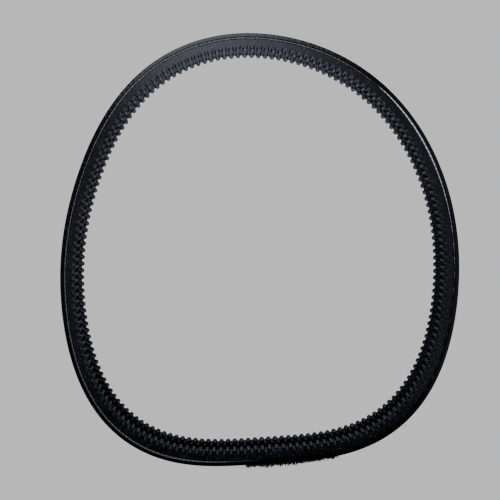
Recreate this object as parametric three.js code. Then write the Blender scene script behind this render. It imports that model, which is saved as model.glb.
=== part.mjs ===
// A joined V belt: two moulded-cog strands side by side, held together by a tie band on their backs.
// The belt lies as a relaxed closed loop. Millimetres. Z is the direction of the pulley axis, and the
// origin is the centre of the loop at half the belt's width.
import * as THREE from 'three';
import { mergeVertices } from 'three/addons/utils/BufferGeometryUtils.js';

// Cogs and facets. The loop is a polygon whose corners all fall in the middle of a notch.
const COG_COUNT = 180;
const COGS_PER_FACET = 3;
const FACET_COUNT = COG_COUNT / COGS_PER_FACET;

// The loop as it lies: a circle with a few shallow bulges, measured along the cords.
const MEAN_RADIUS = 159;
const BULGES = [
  { lobes: 2, height: 7.1, direction: 88 },
  { lobes: 3, height: 5.7, direction: -23.5 },
  { lobes: 4, height: 3.6, direction: 44 },
  { lobes: 5, height: 1.7, direction: 22.5 },
  { lobes: 6, height: 0.9, direction: 0 },
];

// Depths are measured from the belt's back, towards the inside of the loop.
const FABRIC_PLY = 0.4;
const CORD = 1;
const CORD_CLEARANCE = 0.1;
const TIE_RUBBER_TOP = FABRIC_PLY;
const INNER_PLY_TOP = 1.4;
const STRAND_TOP = INNER_PLY_TOP + FABRIC_PLY;
const UPPER_CUSHION_TOP = 2.4;
const UPPER_CUSHION_BOTTOM = 2.7;
const CORD_TOP = UPPER_CUSHION_BOTTOM + CORD_CLEARANCE;
const CORD_BOTTOM = CORD_TOP + CORD;
const CORD_LINE = (CORD_TOP + CORD_BOTTOM) / 2;
const LOWER_CUSHION_TOP = CORD_BOTTOM + CORD_CLEARANCE;
const RIB_TOP = 4.2;
const NOTCH_ROOT = 8.7;
const COG_CREST = 11.2;

// Across the belt.
const STRAND_SPACING = 15.9;
const STRAND_WIDTH = 13.2;
const BAND_WIDTH = STRAND_SPACING + STRAND_WIDTH;
const FLANK_SLOPE = Math.tan(THREE.MathUtils.degToRad(20));

// One cog, as shares of the cog pitch.
const ROOT_SHARE = 0.22;
const CREST_SHARE = 0.38;

// Two cords wind side by side through each strand, from the front flank to the rear one. Each starts
// at its own corner of the loop.
const CORD_TURNS = 3.5;
const S_CORD_START = 45;
const Z_CORD_START = 9;

const WELD_TOLERANCE = 1e-4;
const FABRIC = 0x23242a;
const RUBBER = 0x101114;
const CUSHION_GUM = 0x1a1b1f;
const POLYESTER = 0x8d9096;

class CordLoop extends THREE.Curve {
  getPoint(t, target = new THREE.Vector2()) {
    const angle = 2 * Math.PI * t;
    const bulge = ({ lobes, height, direction }) =>
      height * Math.cos(lobes * (angle - THREE.MathUtils.degToRad(direction)));
    const radius = BULGES.reduce((sum, lobe) => sum + bulge(lobe), MEAN_RADIUS);
    return target.set(radius * Math.cos(angle), radius * Math.sin(angle));
  }
}

// Corners of the cord line, each with the mitre vector that moves it outwards by 1 mm of depth.
function mitredCorners() {
  const loop = new CordLoop();
  loop.arcLengthDivisions = 20 * COG_COUNT;
  const points = loop.getSpacedPoints(FACET_COUNT).slice(0, FACET_COUNT);
  const outwards = points.map((point, i) => {
    const along = points[(i + 1) % FACET_COUNT].clone().sub(point).normalize();
    return new THREE.Vector2(along.y, -along.x);
  });
  return points.map((point, i) => {
    const before = outwards[(i + FACET_COUNT - 1) % FACET_COUNT];
    const after = outwards[i];
    const mitre = before.clone().add(after).divideScalar(1 + before.dot(after));
    return { point, mitre };
  });
}

const corners = mitredCorners();
const backOutline = corners.map(({ point, mitre }) => point.clone().addScaledVector(mitre, CORD_LINE));
const loopCentre = new THREE.Box2().setFromPoints(backOutline).getCenter(new THREE.Vector2());

function cornerAt(index, depth) {
  const { point, mitre } = corners[THREE.MathUtils.euclideanModulo(index, FACET_COUNT)];
  return point.clone().addScaledVector(mitre, CORD_LINE - depth).sub(loopCentre);
}

function outlineAt(depth) {
  return corners.map((_, i) => cornerAt(i, depth));
}

function halfWidth(depth) {
  return STRAND_WIDTH / 2 - (depth - STRAND_TOP) * FLANK_SLOPE;
}

function piece(name, geometry, color, roughness) {
  const material = new THREE.MeshStandardMaterial({ color, roughness, metalness: 0 });
  const mesh = new THREE.Mesh(geometry, material);
  mesh.name = name;
  return mesh;
}

// A layer of the tie band, as wide as the belt.
function bandLayer(top, bottom) {
  const shape = new THREE.Shape(outlineAt(top));
  shape.holes.push(new THREE.Path(outlineAt(bottom)));
  const layer = new THREE.ExtrudeGeometry(shape, { depth: BAND_WIDTH, bevelEnabled: false });
  return layer.translate(0, 0, -BAND_WIDTH / 2);
}

// Side views of one facet, with x as a share of the facet's length and y as depth.
function flatProfile(top, bottom) {
  const shape = new THREE.Shape();
  shape.moveTo(0, top);
  shape.lineTo(0, bottom);
  shape.lineTo(1, bottom);
  shape.lineTo(1, top);
  return shape;
}

function coggedProfile() {
  const pitch = 1 / COGS_PER_FACET;
  const crestStart = (1 - CREST_SHARE) / 2;
  const shape = new THREE.Shape();
  shape.moveTo(0, RIB_TOP);
  shape.lineTo(0, NOTCH_ROOT);
  for (let cog = 0; cog < COGS_PER_FACET; cog += 1) {
    shape.lineTo(pitch * (cog + ROOT_SHARE / 2), NOTCH_ROOT);
    shape.lineTo(pitch * (cog + crestStart), COG_CREST);
    shape.lineTo(pitch * (cog + 1 - crestStart), COG_CREST);
    shape.lineTo(pitch * (cog + 1 - ROOT_SHARE / 2), NOTCH_ROOT);
  }
  shape.lineTo(1, NOTCH_ROOT);
  shape.lineTo(1, RIB_TOP);
  return shape;
}

// A wedge-sided layer of a strand, made of one block for each facet. Blocks meet at the corners of
// the loop, so their end walls are left out.
function strandLayer(profile) {
  const block = new THREE.ExtrudeGeometry(profile, { depth: 2, bevelEnabled: false });
  const flat = block.translate(0, 0, -1).getAttribute('position');
  const positions = [];
  for (let facet = 0; facet < FACET_COUNT; facet += 1) {
    for (let first = 0; first < flat.count; first += 3) {
      const shares = [0, 1, 2].map((i) => flat.getX(first + i));
      if (shares.every((x) => x === 0) || shares.every((x) => x === 1)) continue;
      shares.forEach((share, i) => {
        const depth = flat.getY(first + i);
        const at = cornerAt(facet, depth).lerp(cornerAt(facet + 1, depth), share);
        positions.push(at.x, at.y, flat.getZ(first + i) * halfWidth(depth));
      });
    }
  }
  const geometry = new THREE.BufferGeometry();
  geometry.setAttribute('position', new THREE.Float32BufferAttribute(positions, 3));
  return mergeVertices(geometry, WELD_TOLERANCE);
}

// A cord of square section that winds clockwise round the loop, from one flank to the other.
function woundCord(startCorner) {
  const stations = CORD_TURNS * FACET_COUNT;
  const outerPass = halfWidth(CORD_BOTTOM) - CORD / 2;
  const section = [[0, -CORD / 2], [CORD, -CORD / 2], [CORD, CORD / 2], [0, CORD / 2]];
  const sides = section.length;
  const positions = [];
  const faces = [];
  for (let station = 0; station <= stations; station += 1) {
    const z = THREE.MathUtils.lerp(outerPass, -outerPass, station / stations);
    section.forEach(([depth, side]) => {
      const at = cornerAt(startCorner - station, CORD_TOP + depth);
      positions.push(at.x, at.y, z + side);
    });
  }
  for (let station = 0; station < stations; station += 1) {
    for (let side = 0; side < sides; side += 1) {
      const here = station * sides + side;
      const beside = station * sides + (side + 1) % sides;
      faces.push(here, here + sides, beside + sides, here, beside + sides, beside);
    }
  }
  const end = stations * sides;
  faces.push(0, 1, 2, 0, 2, 3, end, end + 2, end + 1, end, end + 3, end + 2);
  const geometry = new THREE.BufferGeometry();
  geometry.setAttribute('position', new THREE.Float32BufferAttribute(positions, 3));
  geometry.setIndex(faces);
  return geometry;
}

function tieBand() {
  const band = new THREE.Group();
  band.add(
    piece('tie_band_outer_ply', bandLayer(0, TIE_RUBBER_TOP), FABRIC, 0.9),
    piece('tie_band_rubber', bandLayer(TIE_RUBBER_TOP, INNER_PLY_TOP), RUBBER, 0.8),
    piece('tie_band_inner_ply', bandLayer(INNER_PLY_TOP, STRAND_TOP), FABRIC, 0.9),
  );
  return band;
}

function strand(side, middle) {
  const layer = (top, bottom) => strandLayer(flatProfile(top, bottom));
  const group = new THREE.Group();
  group.position.z = middle;
  group.add(
    piece(`${side}_tension_rubber`, layer(STRAND_TOP, UPPER_CUSHION_TOP), RUBBER, 0.8),
    piece(`${side}_cushion_upper`, layer(UPPER_CUSHION_TOP, UPPER_CUSHION_BOTTOM), CUSHION_GUM, 0.8),
    piece(`${side}_cord_s_twist`, woundCord(S_CORD_START), POLYESTER, 0.7),
    piece(`${side}_cord_z_twist`, woundCord(Z_CORD_START), POLYESTER, 0.7),
    piece(`${side}_cushion_lower`, layer(LOWER_CUSHION_TOP, RIB_TOP), CUSHION_GUM, 0.8),
    piece(`${side}_cogged_rib`, strandLayer(coggedProfile()), RUBBER, 0.8),
  );
  return group;
}

const belt = new THREE.Group();
belt.add(tieBand(), strand('front', STRAND_SPACING / 2), strand('rear', -STRAND_SPACING / 2));

export default belt;
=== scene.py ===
"""A joined V belt with moulded cogs, lying on its edge on a pale floor and seen from above.

Lengths are in millimetres until a mesh is made. The belt's back comes from the CAD frame as a smooth
closed curve, and every layer is swept along it at its own depth below the back. Places along the loop
are shares of it, anticlockwise from the +X side, and z is across the belt, with the front at +Z.
"""

import math

import bpy
import numpy as np
from mathutils import Matrix, Vector


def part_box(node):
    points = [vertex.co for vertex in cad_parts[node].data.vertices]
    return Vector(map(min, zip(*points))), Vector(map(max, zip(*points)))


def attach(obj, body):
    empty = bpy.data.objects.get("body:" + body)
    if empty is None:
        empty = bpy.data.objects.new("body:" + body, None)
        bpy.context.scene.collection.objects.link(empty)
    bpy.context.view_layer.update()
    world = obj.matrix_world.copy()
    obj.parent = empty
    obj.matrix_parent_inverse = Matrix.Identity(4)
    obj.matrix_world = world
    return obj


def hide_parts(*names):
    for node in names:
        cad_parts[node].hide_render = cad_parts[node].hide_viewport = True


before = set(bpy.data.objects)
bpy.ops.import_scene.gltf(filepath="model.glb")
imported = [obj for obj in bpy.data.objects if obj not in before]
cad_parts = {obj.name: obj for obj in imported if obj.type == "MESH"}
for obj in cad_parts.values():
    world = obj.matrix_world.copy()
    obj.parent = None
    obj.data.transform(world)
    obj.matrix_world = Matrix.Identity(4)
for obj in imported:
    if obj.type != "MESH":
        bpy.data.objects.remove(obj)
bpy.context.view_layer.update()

MM = 0.001
BODY = "root"

# Depths below the belt's back, as in the CAD section.
TIE_RUBBER_TOP = 0.4
INNER_PLY_TOP = 1.4
STRAND_TOP = 1.8
UPPER_CUSHION_TOP = 2.4
UPPER_CUSHION_BOTTOM = 2.7
CORD_LINE = 3.3
LOWER_CUSHION_TOP = 3.9
RIB_TOP = 4.2
NOTCH_ROOT = 8.7
COG_CREST = 11.2
CORD_RADIUS = 0.5
FLANK_SLOPE = math.tan(math.radians(20))

# Cogs. Half widths are shares of the pitch: of the crest, and from a cog's middle to the notch's root.
COG_COUNT = 180
CREST_HALF = 0.16
ROOT_START = 0.42

# Cords: turns from flank to flank, and where each one starts.
CORD_TURNS = 3.5
CORD_STARTS = {"s": 0.75, "z": 0.15}

FLOOR_GREY = 0.695
LENGTH_STEPS = 3600


# ---------------------------------------------------------------- the loop


def outer_corners(node):
    """The back outline of the CAD loop as complex numbers in mm, anticlockwise from the +X side."""
    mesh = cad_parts[node].data
    top = max(v.co.z for v in mesh.vertices)
    spots = {(round(v.co.x / MM, 3), round(v.co.y / MM, 3)) for v in mesh.vertices if v.co.z > top - MM}
    points = np.array([complex(x, y) for x, y in spots])
    points = points[np.argsort(np.angle(points))]
    gaps = np.abs(np.diff(np.append(points, points[0])))
    if gaps[0] > gaps[1]:
        points = np.roll(points, -1)
    pairs = points.reshape(-1, 2)
    outer = pairs[np.arange(len(pairs)), np.argmax(np.abs(pairs), axis=1)]
    return np.roll(outer, -int(np.argmin(np.abs(np.angle(outer)))))


class Loop:
    """The belt's back as a smooth closed curve through the CAD corners."""

    def __init__(self, node):
        corners = outer_corners(node)
        self.waves = np.fft.fft(corners) / len(corners)
        self.orders = np.fft.fftfreq(len(corners), 1 / len(corners))
        fine = self.back(np.linspace(0, 1, LENGTH_STEPS + 1))
        self.length = float(np.abs(np.diff(fine)).sum())

    def back(self, t):
        return np.exp(2j * np.pi * np.outer(t, self.orders)) @ self.waves

    def inward(self, t):
        along = np.exp(2j * np.pi * np.outer(t, self.orders)) @ (self.waves * 2j * np.pi * self.orders)
        return 1j * along / np.abs(along)

    def place(self, t, depth, z):
        """Points of the belt in metres. t has one value a station, depth and z one row a station."""
        flat = self.back(t)[:, None] + self.inward(t)[:, None] * depth
        return np.stack([flat.real, flat.imag, z], axis=2) * MM


loop = Loop("tie_band_outer_ply")
BAND_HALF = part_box("tie_band_outer_ply")[1].z / MM
strand_low, strand_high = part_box("front_tension_rubber")
STRAND_MIDDLE = (strand_low.z + strand_high.z) / 2 / MM
STRAND_HALF = (strand_high.z - strand_low.z) / 2 / MM
STRANDS = {"front": STRAND_MIDDLE, "rear": -STRAND_MIDDLE}


def half_width(depth):
    """Half of a strand's width at a depth."""
    return STRAND_HALF - (depth - STRAND_TOP) * FLANK_SLOPE


def stations(count):
    """Evenly spaced places round the loop."""
    return np.arange(count) / count


def ripple(t, seed, size, low, high, terms=14):
    """A smooth random wave round the loop that closes on itself. size is about its height, and it has
    from low to high waves a turn."""
    random = np.random.default_rng(seed)
    orders = random.integers(low, high, terms)
    phases = random.uniform(0, 2 * np.pi, terms)
    heights = random.uniform(0.4, 1.0, terms)
    waves = heights * np.sin(2 * np.pi * np.outer(np.ravel(t), orders) + phases)
    return (waves.sum(axis=1) * size / math.sqrt(terms)).reshape(np.shape(t))


def smooth(x):
    x = np.clip(x, 0, 1)
    return x * x * (3 - 2 * x)


# ---------------------------------------------------------------- meshes


class Patch:
    """Points, faces, belt coordinates and material numbers, which can be added together."""

    def __init__(self, points, faces, uv, slots):
        self.points, self.faces, self.uv, self.slots = points, faces, uv, slots

    def __add__(self, other):
        shift = len(self.points)
        moved = [[corner + shift for corner in face] for face in other.faces]
        points = np.concatenate([self.points, other.points])
        return Patch(points, self.faces + moved, self.uv + other.uv, self.slots + other.slots)

    def make(self, name, material_list, crease):
        mesh = bpy.data.meshes.new(name)
        mesh.from_pydata(self.points.tolist(), [], self.faces)
        for material in material_list:
            mesh.materials.append(material)
        mesh.polygons.foreach_set("material_index", np.asarray(self.slots, np.int32))
        mesh.uv_layers.new(name="belt").data.foreach_set("uv", np.asarray(self.uv, np.float32).ravel())
        mesh.shade_smooth()
        mesh.set_sharp_from_angle(angle=math.radians(crease))
        mesh.update()
        piece = bpy.data.objects.new(name, mesh)
        bpy.context.scene.collection.objects.link(piece)
        return piece


def tube(rings, run, around, side_slots=0, closed=False):
    """A solid inside rings of points. rings is stations x sides x 3, and run and around are the belt
    coordinates of its stations and sides. side_slots is one material number, or one for each side, or
    one for each side of each station."""
    count, sides = rings.shape[:2]
    points = rings.reshape(-1, 3)
    spans = count if closed else count - 1
    here, beside = np.meshgrid(np.arange(spans), np.arange(sides), indexing="ij")
    after = (here + 1) % count
    next_side = (beside + 1) % sides
    corners = (here, beside), (here, next_side), (after, next_side), (after, beside)
    quads = np.stack([i * sides + j for i, j in corners], axis=2).reshape(-1, 4)
    spots = (here, beside), (here, beside + 1), (here + 1, beside + 1), (here + 1, beside)
    uv = np.stack([np.stack([run[i], around[j]], axis=2) for i, j in spots], axis=2).reshape(-1, 4, 2)
    ends = [list(range(sides))[::-1], [(count - 1) * sides + k for k in range(sides)]]
    a, b, c, d = (points[quads[:, k]] - points.mean(axis=0) for k in range(4))
    inside_out = np.sum(np.cross(a, b) * c + np.cross(a, c) * d) < 0
    if inside_out:
        quads, uv = quads[:, ::-1], uv[:, ::-1]
        ends = [end[::-1] for end in ends]
    faces = quads.tolist()
    uv = uv.reshape(-1, 2).tolist()
    slots = np.broadcast_to(np.asarray(side_slots), here.shape).ravel().tolist()
    if not closed:
        faces += ends
        uv += [[run[0], 0.0]] * sides + [[run[-1], 0.0]] * sides
        slots += [slots[0]] * 2
    return Patch(points, faces, uv, slots)


def sweep(t, depth, z, side_slots=0, closed=True):
    """A solid swept along the belt. t has one value a station, and depth and z hold its section there."""
    steps = np.hypot(np.diff(depth[0], append=depth[0, 0]), np.diff(z[0], append=z[0, 0]))
    around = np.concatenate([[0], np.cumsum(steps)])
    run = np.append(t, 2 * t[-1] - t[-2]) * loop.length
    return tube(loop.place(t, depth, z), run, around, side_slots, closed)


def stand_for(patch, node, material_list, crease=32):
    """Makes the finished piece that stands for a CAD node. Edges over crease degrees stay sharp."""
    piece = patch.make(f"{node}_piece", material_list, crease)
    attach(piece, BODY)
    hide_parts(node)


# ---------------------------------------------------------------- materials


class Nodes:
    """Adds nodes to a node tree. Wherever a value is taken, another node's output may be given."""

    def __init__(self, tree):
        self.tree = tree

    def feed(self, socket, value):
        if isinstance(value, bpy.types.NodeSocket):
            self.tree.links.new(value, socket)
        else:
            socket.default_value = value

    def node(self, kind, inputs=None, **settings):
        made = self.tree.nodes.new(kind)
        for key, value in settings.items():
            setattr(made, key, value)
        for key, value in (inputs or {}).items():
            self.feed(made.inputs[key], value)
        return made

    def ramp(self, value, low, high, start, end, smooth=False):
        inputs = {"Value": value, "From Min": low, "From Max": high, "To Min": start, "To Max": end}
        kind = "SMOOTHSTEP" if smooth else "LINEAR"
        return self.node("ShaderNodeMapRange", inputs, interpolation_type=kind).outputs["Result"]

    def mix(self, factor, a, b):
        """A mix of two colours. The sockets are numbered because they share their names."""
        return self.node("ShaderNodeMix", {0: factor, 6: a, 7: b}, data_type="RGBA").outputs[2]

    def math(self, operation, a, b=0.0):
        return self.node("ShaderNodeMath", {0: a, 1: b}, operation=operation).outputs["Value"]

    def split(self, vector):
        return self.node("ShaderNodeSeparateXYZ", {"Vector": vector}).outputs


class Shader(Nodes):
    """The nodes of a new material."""

    def __init__(self, name):
        self.material = bpy.data.materials.new(name)
        self.material.use_nodes = True
        super().__init__(self.material.node_tree)
        self.bsdf = self.tree.nodes["Principled BSDF"]

    def set(self, **values):
        for key, value in values.items():
            self.feed(self.bsdf.inputs[key.replace("_", " ")], value)

    def belt_uv(self, along=1.0, across=1.0):
        """The belt's own coordinates in mm: along the loop, and round the section."""
        uv = self.node("ShaderNodeUVMap", uv_map="belt").outputs["UV"]
        return self.node("ShaderNodeMapping", {"Vector": uv, "Scale": (along, across, 1)}).outputs["Vector"]

    def object_mm(self):
        place = self.node("ShaderNodeTexCoord").outputs["Object"]
        scale = (1 / MM, 1 / MM, 1 / MM)
        return self.node("ShaderNodeMapping", {"Vector": place, "Scale": scale}).outputs["Vector"]

    def noise(self, vector, scale, detail=3.0, roughness=0.55):
        inputs = {"Vector": vector, "Scale": scale, "Detail": detail, "Roughness": roughness}
        return self.node("ShaderNodeTexNoise", inputs).outputs["Fac"]

    def bump(self, height, distance, strength):
        """A bumped normal. distance is in mm."""
        inputs = {"Height": height, "Distance": distance * MM, "Strength": strength}
        return self.node("ShaderNodeBump", inputs).outputs["Normal"]


def grey(value, blue=1.0):
    return (value, value, value * blue, 1.0)


# One splice line crosses the flanks: its place along the loop, and its lean and width in mm.
SPLICE_PLACE = 0.7655
SPLICE_LEAN = 0.75
SPLICE_WIDTH = 0.35


def splice_line(s):
    """1 on the thin slanting splice line, 0 elsewhere."""
    along, round_section, _ = s.split(s.belt_uv())
    leaned = s.math("ADD", along, s.math("MULTIPLY", round_section, SPLICE_LEAN))
    away = s.math("ABSOLUTE", s.math("SUBTRACT", leaned, SPLICE_PLACE * loop.length))
    return s.ramp(away, SPLICE_WIDTH * 0.4, SPLICE_WIDTH, 0.7, 0.0)


def ground_rubber(name, base, roughness, relief, specular, speck=0.01, spliced=False):
    """Fibre-loaded rubber with a ground or cut surface: matt black with fine grain and fibre specks."""
    s = Shader(name)
    fine = s.noise(s.belt_uv(0.5, 3.0), 2.2, 4, 0.7)
    cloud = s.noise(s.object_mm(), 0.05, 2)
    specks = s.node("ShaderNodeTexVoronoi", {"Vector": s.belt_uv(0.8, 1.2), "Scale": 1.1}).outputs["Distance"]
    fibre = s.ramp(specks, 0.12, 0.28, 1.0, 0.0)
    rubber = s.mix(s.ramp(cloud, 0.3, 0.7, 0.0, 1.0), grey(base * 0.8, 1.15), grey(base * 1.3, 1.2))
    worn = s.mix(s.ramp(fine, 0.55, 0.8, 0.0, 0.6), rubber, grey(base * 2.6, 1.2))
    color = s.mix(s.math("MULTIPLY", fibre, 0.7), worn, grey(speck, 1.1))
    if spliced:
        color = s.mix(splice_line(s), color, grey(0.05, 1.1))
    grain = s.math("ADD", s.math("MULTIPLY", fine, 0.7), s.math("MULTIPLY", fibre, 0.5))
    s.set(
        Base_Color=color,
        Roughness=s.ramp(fine, 0.3, 0.7, roughness - 0.03, roughness + 0.05),
        Specular_IOR_Level=specular,
        Normal=s.bump(grain, 0.05, relief),
    )
    return s.material


def moulded_rubber(name, base):
    """Rubber as the mould leaves it on the cogs. The cog walls carry painted shade: they are coloured almost
    black and given less gloss, standing in for the shade of the neighbouring cogs, while crests and notch
    roots keep the lighter rubber.
    """
    s = Shader(name)
    from_root = s.math("PINGPONG", s.split(s.belt_uv(COG_COUNT / loop.length))[0], 0.5)
    crest_edge = 0.5 - CREST_HALF
    root_edge = 0.5 - ROOT_START
    crest = s.ramp(from_root, crest_edge - 0.1, crest_edge + 0.04, 0.0, 1.0, smooth=True)
    root = s.ramp(from_root, root_edge - 0.02, root_edge + 0.1, 0.9, 0.0, smooth=True)
    # Painted shade: this mask is 0 on the cog walls, whose colour below is made almost black to stand in for
    # the shade between cogs. It is 1 on crests and about 0.9 at notch roots.
    unshaded_share = s.math("ADD", crest, root)
    grain = s.noise(s.object_mm(), 1.6, 4, 0.6)
    cloud = s.noise(s.object_mm(), 0.18, 2)
    dust = s.ramp(s.noise(s.object_mm(), 0.7, 5, 0.75), 0.52, 0.75, 0.0, 0.5)
    rubber = s.mix(s.ramp(cloud, 0.35, 0.65, 0.0, 1.0), grey(base * 0.8, 1.2), grey(base * 1.35, 1.25))
    unshaded_rubber = s.mix(dust, rubber, grey(base * 2.2, 1.1))
    s.set(
        Base_Color=s.mix(unshaded_share, grey(base * 0.05, 1.2), unshaded_rubber),
        Roughness=s.ramp(grain, 0.3, 0.7, 0.32, 0.44),
        Specular_IOR_Level=s.ramp(unshaded_share, 0.0, 1.0, 0.1, 0.5),
        Normal=s.bump(grain, 0.06, 0.45),
    )
    return s.material


def woven_fabric(name, base, thread):
    """Rubber-coated bias-cut woven fabric: threads at 45 degrees to the belt, thread mm apart."""
    s = Shader(name)
    along, round_section, _ = s.split(s.belt_uv())
    turn = 2 * math.pi / (thread * math.sqrt(2))
    warp = s.math("SINE", s.math("MULTIPLY", s.math("ADD", along, round_section), turn))
    weft = s.math("SINE", s.math("MULTIPLY", s.math("SUBTRACT", along, round_section), turn))
    over = s.math("MULTIPLY", warp, weft)
    weave = s.math("ADD", s.math("MULTIPLY", s.math("ABSOLUTE", warp), 0.5), s.math("MULTIPLY", over, 0.5))
    wear = s.noise(s.belt_uv(0.35), 0.16, 5, 0.7)
    fuzz = s.noise(s.belt_uv(), 3.2, 3, 0.7)
    height = s.math("ADD", weave, s.math("MULTIPLY", fuzz, 0.5))
    cloth = s.mix(s.ramp(height, -0.2, 1.2, 0.0, 1.0), grey(base * 0.5, 1.15), grey(base * 2.2, 1.2))
    rubbed = s.math("MULTIPLY", s.ramp(wear, 0.45, 0.7, 0.0, 0.6), s.ramp(height, 0.2, 1.1, 0.2, 1.0))
    s.set(
        Base_Color=s.mix(rubbed, cloth, grey(0.09, 1.05)),
        Roughness=s.ramp(fuzz, 0.3, 0.7, 0.62, 0.8),
        Specular_IOR_Level=0.3,
        Sheen_Weight=0.05,
        Sheen_Roughness=0.5,
        Normal=s.bump(height, 0.12, 0.6),
    )
    return s.material


YARN_REPEAT = 3.6

# The Z cord's cut carries painted shade: away from its start its pale colour is darkened almost to black, so
# that only its start looks lit. Up to the first of these places along the loop, in mm, little of the cut
# keeps its pale colour, and from the second one all of it does.
CUT_SHADE_FADE = (-0.03 * loop.length, 0.075 * loop.length)
SHADED_CUT_SHARE = 0.1


def unshaded_cut_share(s, along):
    """How much of the Z cord's cut keeps its pale colour against the painted shade, for the cut at the front
    flank and its mirror image at the rear.
    """
    mirrored = (2 * CORD_STARTS["z"] - CORD_TURNS) * loop.length
    front = s.ramp(along, CUT_SHADE_FADE[0], CUT_SHADE_FADE[1], SHADED_CUT_SHARE, 1.0)
    rear = s.ramp(along, mirrored - CUT_SHADE_FADE[0], mirrored - CUT_SHADE_FADE[1], SHADED_CUT_SHARE, 1.0)
    return s.math("MAXIMUM", front, rear)


def cut_cord(name, base, lay, shade_painted=False):
    """Treated polyester yarn. The cut shows pale fibres in strands that slant by lay."""
    s = Shader(name)
    along, round_section, _ = s.split(s.belt_uv())
    slant = s.math("ADD", along, s.math("MULTIPLY", round_section, lay))
    strands = s.math("SINE", s.math("MULTIPLY", slant, 2 * math.pi / YARN_REPEAT))
    fibres = s.noise(s.belt_uv(0.5, 9.0), 1.4, 4, 0.7)
    tone = s.math("ADD", s.math("MULTIPLY", strands, 0.25), fibres)
    color = s.mix(s.ramp(tone, 0.2, 0.85, 0.0, 1.0), grey(base * 0.35, 1.06), grey(base, 1.04))
    if shade_painted:
        # Painted shade: the Z cord's cut is darkened almost to black away from its start, so that only its
        # start looks lit.
        color = s.mix(unshaded_cut_share(s, along), grey(base * 0.01), color)
    s.set(
        Base_Color=color,
        Roughness=0.55,
        Specular_IOR_Level=0.4,
        Sheen_Weight=0.2,
        Normal=s.bump(tone, 0.1, 0.6),
    )
    return s.material


FLANK = ground_rubber(
    "ground_rubber", base=0.004, roughness=0.22, relief=0.12, specular=0.15, speck=0.14, spliced=True
)
CUSHION = ground_rubber("cushion_gum", base=0.001, roughness=0.4, relief=0.12, specular=0.03)
BAND_RUBBER = ground_rubber("band_rubber", base=0.0012, roughness=0.16, relief=0.12, specular=0.16)
PLY_EDGE = ground_rubber("ply_edge", base=0.0005, roughness=0.16, relief=0.15, specular=0.19)
TORN_PLY = ground_rubber("torn_ply", base=0.009, roughness=0.95, relief=0.6, specular=0.0, speck=0.04)
CLOTH = woven_fabric("tie_fabric", base=0.02, thread=0.9)
COG_FACE = moulded_rubber("moulded_rubber", base=0.05)
CORD_YARN = {
    "s": cut_cord("cord_s_yarn", base=0.19, lay=1.2),
    "z": cut_cord("cord_z_yarn", base=0.9, lay=-1.2, shade_painted=True),
}


# ---------------------------------------------------------------- tie band

BAND_STATIONS = 2400
BACK_COLUMNS = 24
EDGE_ROUND = 0.06
INNER_PLY_SETBACK = 0.03

# The cut edges wander a little. The seeds are those of the random waves.
EDGE_WANDER = 0.03
PLY_SEED = 18
RUBBER_SEED = 15
SIDES = (-1, 1)

# Material numbers of a tie-band layer.
FACE, EDGE, TORN = 0, 1, 2

# The outer ply's lap: where its free end lies and where it has sunk into the band.
LAP_START = 0.739
LAP_END = 0.815
LAP_RISE = 1.2
LAP_SLANT = 0.006
RAG_HEIGHT = 2.4

# Loose threads and wider tufts on the lap. Most grow in a zone at the front edge, which starts at this
# share of the half width.
EDGE_ZONE = 0.9
NEAR_EDGE_SHARE = 0.6
EDGE_INSET = 0.3
FRAY_SEED = 29
THREAD_COUNT = 420
TUFT_COUNT = 260
THREAD_RADII = (0.07, 0.16)
TUFT_RADII = (0.5, 1.1)
SHORTEST_REACH = 0.5
REACH_SPAN = 2.8
SPIKE_RINGS = 6
SPIKE_SIDES = 6
SPIKE_TAPER = 0.85


def lap_height(t, across):
    """How far the lapped end of the ply stands off the back, from the front edge (1) to the rear one (-1)."""
    share = (t - LAP_START + LAP_SLANT * (across - 1)) / (LAP_END - LAP_START)
    return LAP_RISE * np.where((share > 0) & (share < 1), 1 - smooth(share) ** 1.5, 0)


def band_edges(t, seed, setback=0.0):
    """How far from the belt's middle a layer's cut edges lie, on the rear (-1) and front (1) sides."""
    wander = {side: ripple(t, seed + side, EDGE_WANDER, 20, 300) for side in SIDES}
    return {side: BAND_HALF - setback + wander[side] for side in SIDES}


def band_corners(edge, rim_top, top, bottom):
    """Depth and z of a layer's corners: rear top, rear bottom, front bottom, front top. Its cut edges
    slope like the flanks."""
    low = np.full_like(edge[1], bottom)
    undercut = (bottom - top) * FLANK_SLOPE
    depth = np.stack([rim_top[-1], low, low, rim_top[1]], axis=1)
    z = np.stack([-edge[-1], undercut - edge[-1], edge[1] - undercut, edge[1]], axis=1)
    return depth, z


def inner_band_layer(name, top, bottom, seed, setback, slot, face, cut):
    """A flat full-width layer under the outer ply. face and cut are its materials."""
    t = stations(BAND_STATIONS)
    rim_top = {side: np.full(len(t), top) for side in SIDES}
    depth, z = band_corners(band_edges(t, seed, setback), rim_top, top, bottom)
    stand_for(sweep(t, depth, z, [EDGE, FACE, EDGE, FACE]), name, [face, cut])


def torn_back(t, across):
    """Depth of the outer ply's back: a faint swell all round, and the ragged lap."""
    raised = lap_height(t[:, None], across)
    rough = ripple(t[:, None] + 0.0009 * across, seed=8, size=RAG_HEIGHT, low=90, high=420, terms=24)
    patchy = 0.5 + ripple(t[:, None] * 0.6 + 0.009 * across, seed=31, size=0.6, low=90, high=400, terms=20)
    ragged = np.clip(rough, 0, None) * np.clip(patchy, 0, 1.2) * np.sqrt(raised / LAP_RISE)
    swell = np.abs(ripple(t[:, None] + 0.004 * across, seed=5, size=0.03, low=10, high=90))
    return swell - raised - ragged


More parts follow.
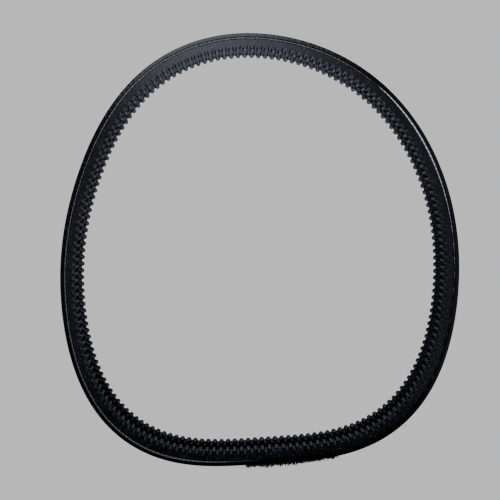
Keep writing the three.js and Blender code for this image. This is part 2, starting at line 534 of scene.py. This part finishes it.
def outer_ply():
    """The fabric ply on the belt's back, with its lapped and torn end."""
    t = stations(BAND_STATIONS)
    across = np.linspace(1, -1, BACK_COLUMNS)
    edge = band_edges(t, PLY_SEED)
    reach = np.where(across > 0, edge[1][:, None], edge[-1][:, None])
    back_z = reach * across * (1 - EDGE_ROUND / BAND_HALF)
    rim_top = {side: EDGE_ROUND - lap_height(t, side) for side in SIDES}
    depth, z = band_corners(edge, rim_top, 0.0, TIE_RUBBER_TOP)
    depth = np.concatenate([torn_back(t, across), depth], axis=1)
    z = np.concatenate([back_z, z], axis=1)
    side_slots = np.tile([FACE] * (BACK_COLUMNS - 1) + [EDGE, EDGE, FACE, EDGE, EDGE], (len(t), 1))
    side_slots[lap_height(t, -1) > 0, BACK_COLUMNS - 1 : BACK_COLUMNS + 1] = TORN
    side_slots[lap_height(t, 1) > 0, -2:] = TORN
    ply = sweep(t, depth, z, side_slots) + fray()
    stand_for(ply, "tie_band_outer_ply", [CLOTH, PLY_EDGE, TORN_PLY])


def spike(random, t, depth, z, reach, radius, slot):
    """A loose thread or tuft: a thin bent spike that stands out from the ply and narrows to its end."""
    share = np.linspace(0, 1, SPIKE_RINGS)[:, None]
    lean, bend = random.normal(0, 0.45, 2), random.normal(0, 0.35, 2)
    along, across = (reach * (lean[k] * share + bend[k] * share**2) for k in range(2))
    turn = np.linspace(0, 2 * np.pi, SPIKE_SIDES, endpoint=False)
    size = radius * (1 - SPIKE_TAPER * share**1.5)
    ring_t = t + (along + size * np.cos(turn)) / loop.length
    ring_z = np.clip(z + across * 0.6 + size * np.sin(turn), -BAND_HALF, BAND_HALF)
    ring_depth = np.broadcast_to(depth - reach * share, ring_t.shape)
    flat = loop.place(ring_t.ravel(), ring_depth.reshape(-1, 1), ring_z.reshape(-1, 1))
    rings = flat.reshape(ring_t.shape + (3,))
    return tube(rings, ring_t[:, 0] * loop.length, np.linspace(0, 2, SPIKE_SIDES + 1), slot)


def fray():
    """Threads and tufts of torn fabric that stand out along the lapped end, most of them near its front
    edge. They get shorter and sparser towards the place where the lap has sunk in."""
    random = np.random.default_rng(FRAY_SEED)
    spikes = []
    for index in range(THREAD_COUNT + TUFT_COUNT):
        share = random.beta(1.0, 1.2)
        near_edge = random.uniform() < NEAR_EDGE_SHARE
        across = random.uniform(EDGE_ZONE, 1.0) if near_edge else random.uniform(-1, EDGE_ZONE)
        reach = min(random.gamma(2.4, 0.62), REACH_SPAN) * (1 - 0.4 * share)
        radius = random.uniform(*(THREAD_RADII if index < THREAD_COUNT else TUFT_RADII))
        t = LAP_START + (LAP_END - LAP_START) * share
        foot = 0.1 - float(lap_height(t, across)) * 0.6
        z = across * (BAND_HALF - EDGE_INSET)
        slot = TORN if near_edge else FACE
        spikes.append(spike(random, t, foot, z, SHORTEST_REACH + reach, radius, slot))
    return sum(spikes[1:], spikes[0])


outer_ply()
rubber_look = {"slot": "body_rubber", "face": BAND_RUBBER, "cut": BAND_RUBBER}
ply_look = {"slot": "tie_fabric", "face": CLOTH, "cut": PLY_EDGE}
inner_band_layer("tie_band_rubber", TIE_RUBBER_TOP, INNER_PLY_TOP, RUBBER_SEED, 0.0, **rubber_look)
inner_band_layer("tie_band_inner_ply", INNER_PLY_TOP, STRAND_TOP, PLY_SEED, INNER_PLY_SETBACK, **ply_look)


# ---------------------------------------------------------------- cogged ribs and plain layers

STATIONS_PER_COG = 22
FLANK_ROWS = 4
FACE_COLUMNS = 9
CORNER_ROUND = 0.3
CORNER_STEPS = 4
FACE_HOLLOW = 0.06
NOTCH_FILL = 0.2

# Moulded crests stand this much lower than in the CAD section, and differ by about this much.
CREST_DROP = 0.1
CREST_SPREAD = 0.05
CREST_SEED = 17
STRAND_WANDER = 0.02

# Material numbers of a rib.
GROUND, MOULDED = 0, 1


def cog_depth(t):
    """Depth of the moulded face along the loop: rounded cogs with sloping walls and rounded roots."""
    from_crest = np.abs(t * COG_COUNT % 1 - 0.5)
    rise = smooth((ROOT_START - from_crest) / (ROOT_START - CREST_HALF))
    number = np.floor(t * COG_COUNT).astype(int)
    height = np.random.default_rng(CREST_SEED).normal(0, CREST_SPREAD, COG_COUNT)[number]
    root = NOTCH_ROOT + NOTCH_FILL
    return root + rise * (COG_CREST - root - CREST_DROP + height)


def cogged_rib(side):
    """The rib with its moulded cogs. Flanks are ground flat, cog faces are as moulded."""
    t = stations(COG_COUNT * STATIONS_PER_COG)
    bottom = cog_depth(t)[:, None]
    flank_end = bottom - CORNER_ROUND
    flank_depth = RIB_TOP + (flank_end - RIB_TOP) * np.linspace(0, 1, FLANK_ROWS)
    turn = np.pi / 2 * np.arange(1, CORNER_STEPS) / CORNER_STEPS
    corner_depth = flank_end + CORNER_ROUND * np.sin(turn)
    corner_z = half_width(flank_end) - CORNER_ROUND * (1 - np.cos(turn))
    across = np.linspace(1, -1, FACE_COLUMNS)
    face_z = (half_width(flank_end) - CORNER_ROUND) * across
    face_depth = bottom + FACE_HOLLOW * (across**2 - 1)
    side_depth = np.concatenate([flank_depth, corner_depth], axis=1)
    side_z = np.concatenate([half_width(flank_depth), corner_z], axis=1)
    depth = np.concatenate([side_depth, face_depth, side_depth[:, ::-1]], axis=1)
    z = np.concatenate([side_z, face_z, -side_z[:, ::-1]], axis=1)
    moulded_sides = len(turn) * 2 + FACE_COLUMNS + 1
    slots = [GROUND] * (FLANK_ROWS - 1) + [MOULDED] * moulded_sides + [GROUND] * FLANK_ROWS
    rib = sweep(t, depth, z + STRANDS[side], slots)
    stand_for(rib, f"{side}_cogged_rib", [FLANK, COG_FACE])


def tension_rubber(side):
    """The plain wedge-sided layer between the tie band and the cords."""
    t = stations(BAND_STATIONS)
    depth = np.tile([STRAND_TOP, STRAND_TOP, UPPER_CUSHION_TOP, UPPER_CUSHION_TOP], (len(t), 1))
    outward = np.array([-1, 1, 1, -1])
    z = outward * (half_width(depth) + ripple(t, 3, STRAND_WANDER, 20, 200)[:, None])
    stand_for(sweep(t, depth, z + STRANDS[side]), f"{side}_tension_rubber", [BAND_RUBBER])


# ---------------------------------------------------------------- cords and their cushions

CORD_STATIONS_PER_TURN = 1300
CORD_SIDES = 14
CUSHION_LIP = 0.3

# A cord's cut stands this far proud of the flank. Where the cord's middle is outside the flank, it counts
# as at most this many radii out, so that the cut never closes up.
CUT_PROUD = 0.03
FURTHEST_CUT = 0.995

# A cord is three strands. Their bulges are a share of the radius and repeat after so many mm, with the
# sign for the direction of the twist.
STRAND_BULGE = 0.07
STRAND_REPEAT = {"s": 12.0, "z": -12.0}

# Where a cord's middle lies at the flank: turns from its start, and radii outside the flank.
CUT_SHAPE = {
    "s": [(0.0, 1.0), (0.02, 0.97), (0.08, 0.0), (0.14, -0.7), (0.34, -0.88), (0.42, -0.2), (0.6, -1.0)],
    "z": [(0.0, 1.0), (0.05, 0.0), (0.08, -0.8), (0.11, -0.95), (0.13, -0.985), (0.26, -1.01)],
}

# Turns from its start until a cord runs where the CAD cord does.
BURIED_TURN = 1.6

# A place round the loop counts as cut if a cut station is nearer than this. One in so many is tried.
CUT_NEAR = 0.02
CUT_STRIDE = 25


def cord_path(twist):
    """A cord's places along the loop, the z of its middle, and the turns run, from the front flank to the
    rear one. It slides out through the flank where it starts, and back in where it ends."""
    cad_start = half_width(CORD_LINE + CORD_RADIUS) - CORD_RADIUS
    turns = np.linspace(0, CORD_TURNS, int(CORD_TURNS * CORD_STATIONS_PER_TURN) + 1)

    def cad_z(run):
        return cad_start * (1 - 2 * run / CORD_TURNS)

    stops, proud = np.array(CUT_SHAPE[twist]).T
    outside = proud * CORD_RADIUS + half_width(CORD_LINE) - cad_z(stops)

    def lift(run):
        return np.interp(run, np.append(stops, BURIED_TURN), np.append(outside, 0.0))

    middle = cad_z(turns) + lift(turns) - lift(CORD_TURNS - turns)
    return CORD_STARTS[twist] - turns, middle, turns


cord_paths = {twist: cord_path(twist) for twist in CORD_STARTS}


def exposed_half(t, end):
    """Half of the cords' cut width at the front (1) or rear (-1) flank, for places round the loop."""
    shown = np.zeros(len(t))
    for place, middle, _ in cord_paths.values():
        beyond = end * middle - half_width(CORD_LINE)
        cut = np.sqrt(np.clip(CORD_RADIUS**2 - beyond**2, 0, None))
        is_cut = cut > 0
        order = np.argsort(place[is_cut] % 1)
        spots = (place[is_cut] % 1)[order]
        half = np.interp(t, spots, cut[is_cut][order], period=1)
        away = np.abs((t[:, None] - spots[None, ::CUT_STRIDE] + 0.5) % 1 - 0.5).min(axis=1)
        shown = np.maximum(shown, np.where(away < CUT_NEAR, half, 0))
    return shown


def cushion(side, part, outer, inner, mouth_sign):
    """Adhesion rubber above or below the cords, with a mouth_sign of -1 or 1. A lip at each flank closes
    on the cord's cut edge."""
    t = stations(BAND_STATIONS)
    ones = np.ones(len(t))
    front, rear = (CORD_LINE + mouth_sign * exposed_half(t, end) for end in (1, -1))
    section = [
        (outer * ones, -half_width(outer) * ones),
        (outer * ones, half_width(outer) * ones),
        (front, half_width(front)),
        (front, half_width(front) - CUSHION_LIP),
        (inner * ones, half_width(inner) * ones - CUSHION_LIP),
        (inner * ones, CUSHION_LIP - half_width(inner) * ones),
        (rear, CUSHION_LIP - half_width(rear)),
        (rear, -half_width(rear)),
    ]
    depth, z = (np.stack(column, axis=1) for column in zip(*section))
    stand_for(sweep(t, depth, z + STRANDS[side]), f"{side}_{part}", [CUSHION])


def cord(side, twist):
    """Three-strand twisted yarn, cut flush wherever it leaves the flank."""
    place, middle, turns = cord_paths[twist]
    angles = np.linspace(0, 2 * np.pi, CORD_SIDES, endpoint=False)
    twisted = 2 * np.pi * turns[:, None] * loop.length / STRAND_REPEAT[twist]
    radius = CORD_RADIUS * (1 - STRAND_BULGE + STRAND_BULGE * np.cos(3 * angles + twisted))
    beyond = np.clip(np.abs(middle) - half_width(CORD_LINE), 0, CORD_RADIUS * FURTHEST_CUT)
    chord = np.sqrt(CORD_RADIUS**2 - beyond**2)[:, None]
    depth = CORD_LINE + np.clip(radius * np.cos(angles), -chord, chord)
    z = middle[:, None] + radius * np.sin(angles)
    z = np.clip(z, -half_width(depth) - CUT_PROUD, half_width(depth) + CUT_PROUD)
    yarn = sweep(place, depth, z + STRANDS[side], closed=False)
    stand_for(yarn, f"{side}_cord_{twist}_twist", [CORD_YARN[twist]], crease=50)


for side in STRANDS:
    tension_rubber(side)
    cushion(side, "cushion_upper", UPPER_CUSHION_TOP, UPPER_CUSHION_BOTTOM, -1)
    cushion(side, "cushion_lower", RIB_TOP, LOWER_CUSHION_TOP, 1)
    for twist in CORD_STARTS:
        cord(side, twist)
    cogged_rib(side)


# ---------------------------------------------------------------- stage

LIGHT_TINT = (0.80, 0.86, 1.0)
FLOOR_SIDE = 6.0
FLOOR_PAPER = 0.45
FLOOR_SHADE = 0.004

# The horizon's light, the light from overhead, and the heights between which one fades to the other.
HORIZON_LIGHT = 1.6
ZENITH_LIGHT = 0.01
HORIZON_FADE = (0.15, 0.45)

# How the horizon's light changes from the front (0) past the sides (0.5) to the back (1).
LIGHT_SHARES = ((0.0, 9.5), (0.14, 0.5), (0.5, 0.1), (0.86, 0.5), (1.0, 4.5))

KEY_PLACE = (0.60, -1.84, 4.60)
KEY_SIDE = 1.7
KEY_POWER = 90.0
FILL_PLACE = (-2.10, -0.60, 4.40)
FILL_SIDE = 2.2
FILL_POWER = 14.0

CAMERA_PLACE = (-0.018, 0.035, 0.4254)
CAMERA_TARGET = (-0.0086, 0.0045, 0.014)
CAMERA_LENS = 38.93
CAMERA_SENSOR = 36


def make_floor():
    """A floor that lights the belt like pale paper. The camera sees it as an even grey."""
    half = FLOOR_SIDE / 2
    low = -BAND_HALF * MM
    corners = [(-half, -half, low), (half, -half, low), (half, half, low), (-half, half, low)]
    mesh = bpy.data.meshes.new("floor")
    mesh.from_pydata(corners, [], [(0, 1, 2, 3)])
    s = Shader("floor_paper")
    paper = s.node("ShaderNodeBsdfDiffuse", {"Color": grey(FLOOR_PAPER)})
    glow = s.node("ShaderNodeEmission", {"Color": grey(1.0), "Strength": FLOOR_GREY})
    faint = s.node("ShaderNodeBsdfDiffuse", {"Color": grey(FLOOR_SHADE)})
    shown = s.node("ShaderNodeAddShader", {0: glow.outputs[0], 1: faint.outputs[0]})
    seen = s.node("ShaderNodeLightPath").outputs["Is Camera Ray"]
    mixed = s.node("ShaderNodeMixShader", {0: seen, 1: paper.outputs[0], 2: shown.outputs[0]})
    s.feed(s.tree.nodes["Material Output"].inputs["Surface"], mixed.outputs[0])
    mesh.materials.append(s.material)
    floor = bpy.data.objects.new("floor", mesh)
    bpy.context.scene.collection.objects.link(floor)


def make_world():
    """Soft light from near the horizon, stronger along Y than along X, and almost none from overhead.
    The camera sees a plain pale grey."""
    world = bpy.data.worlds.new("studio")
    world.use_nodes = True
    w = Nodes(world.node_tree)
    _, forward, up = w.split(w.node("ShaderNodeTexCoord").outputs["Generated"])
    share = w.node("ShaderNodeValToRGB", {"Fac": w.ramp(forward, -1.0, 1.0, 0.0, 1.0)})
    stops = share.color_ramp.elements
    for position, _ in LIGHT_SHARES[1:-1]:
        stops.new(position)
    for stop, (_, value) in zip(stops, LIGHT_SHARES):
        stop.color = grey(value)
    height = w.ramp(up, *HORIZON_FADE, HORIZON_LIGHT, ZENITH_LIGHT)
    soft = w.tree.nodes["Background"]
    w.feed(soft.inputs["Color"], (*LIGHT_TINT, 1.0))
    w.feed(soft.inputs["Strength"], w.math("MULTIPLY", height, share.outputs["Color"]))
    pale = w.node("ShaderNodeBackground", {"Color": grey(1.0), "Strength": FLOOR_GREY})
    seen = w.node("ShaderNodeLightPath").outputs["Is Camera Ray"]
    mixed = w.node("ShaderNodeMixShader", {0: seen, 1: soft.outputs[0], 2: pale.outputs[0]})
    w.feed(w.tree.nodes["World Output"].inputs["Surface"], mixed.outputs[0])
    bpy.context.scene.world = world


def aim(thing, place, target):
    """Puts a camera or light at place, facing target, with +Y towards the top of its picture."""
    back = (Vector(place) - Vector(target)).normalized()
    right = Vector((0, 1, 0)).cross(back).normalized()
    turn = Matrix((right, back.cross(right), back)).transposed()
    thing.location = place
    thing.rotation_euler = turn.to_euler()
    bpy.context.scene.collection.objects.link(thing)


def soft_light(name, place, side, power):
    """A square soft box that faces the middle of the belt."""
    light = bpy.data.lights.new(name, "AREA")
    light.shape = "RECTANGLE"
    light.size = light.size_y = side
    light.energy = power
    light.color = LIGHT_TINT
    aim(bpy.data.objects.new(name, light), place, (0, 0, 0))


def make_camera():
    camera_data = bpy.data.cameras.new("camera")
    camera_data.sensor_width = CAMERA_SENSOR
    camera_data.lens = CAMERA_LENS
    camera = bpy.data.objects.new("camera", camera_data)
    aim(camera, CAMERA_PLACE, CAMERA_TARGET)
    bpy.context.scene.camera = camera


make_floor()
make_world()
soft_light("key", KEY_PLACE, KEY_SIDE, KEY_POWER)
soft_light("side_fill", FILL_PLACE, FILL_SIDE, FILL_POWER)
make_camera()
